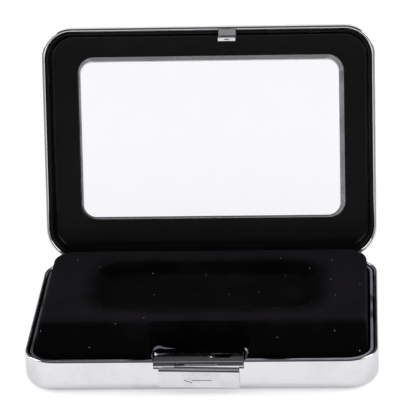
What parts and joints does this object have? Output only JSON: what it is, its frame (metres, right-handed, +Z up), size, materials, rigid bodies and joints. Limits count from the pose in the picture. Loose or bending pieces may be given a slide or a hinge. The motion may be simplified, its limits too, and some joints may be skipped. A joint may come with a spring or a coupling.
{
  "type": "hinged display case",
  "caption": "Small chromed sheet-metal display case with a clear window in its hinged lid, a black flocked insert and a sliding front catch.",
  "frame": {"origin": "centre of the tray's flat underside", "axes": "+X along the front from left to right, +Y towards the hinge, +Z up"},
  "size_m": [0.092, 0.0871, 0.0718],
  "materials": {
    "chrome_shell": "polished chrome plate on drawn steel",
    "chrome_latch": "polished chrome plate on stamped steel",
    "hinge_steel": "plated strip steel",
    "spring_steel": "bright spring wire",
    "liner_black": "satin black formed sheet",
    "pvc_sheet": "black formed sheet with a raw grey cut edge",
    "black_flock": "short black flock",
    "clear_sheet": "clear polished sheet"
  },
  "bodies": {
    "tray": {"tray_shell": "chrome_shell", "tray_liner": "pvc_sheet", "display_insert": "black_flock", "latch_housing": "chrome_latch", "latch_spring": "spring_steel", "hinge_leaf_tray": "hinge_steel", "hinge_pin": "hinge_steel"},
    "lid": {"lid_shell": "chrome_shell", "window_pane": "clear_sheet", "lid_liner": "liner_black", "lid_catch": "chrome_latch", "hinge_leaf_lid": "hinge_steel"},
    "slider": {"latch_slider": "chrome_latch"}
  },
  "joints": [
    {"name": "lid_hinge", "type": "hinge", "parent": "tray", "child": "lid", "pos_m": [0, 0.03245, 0.0089], "axis": [-1, 0, 0], "range_deg": [-103.3, 0]},
    {"name": "latch_slide", "type": "slide", "parent": "tray", "child": "slider", "axis": [-1, 0, 0], "range_m": [0, 0.0025], "stiffness_N_per_m": 300, "springref_m": -0.002, "deforming": ["latch_spring"]}
  ]
}
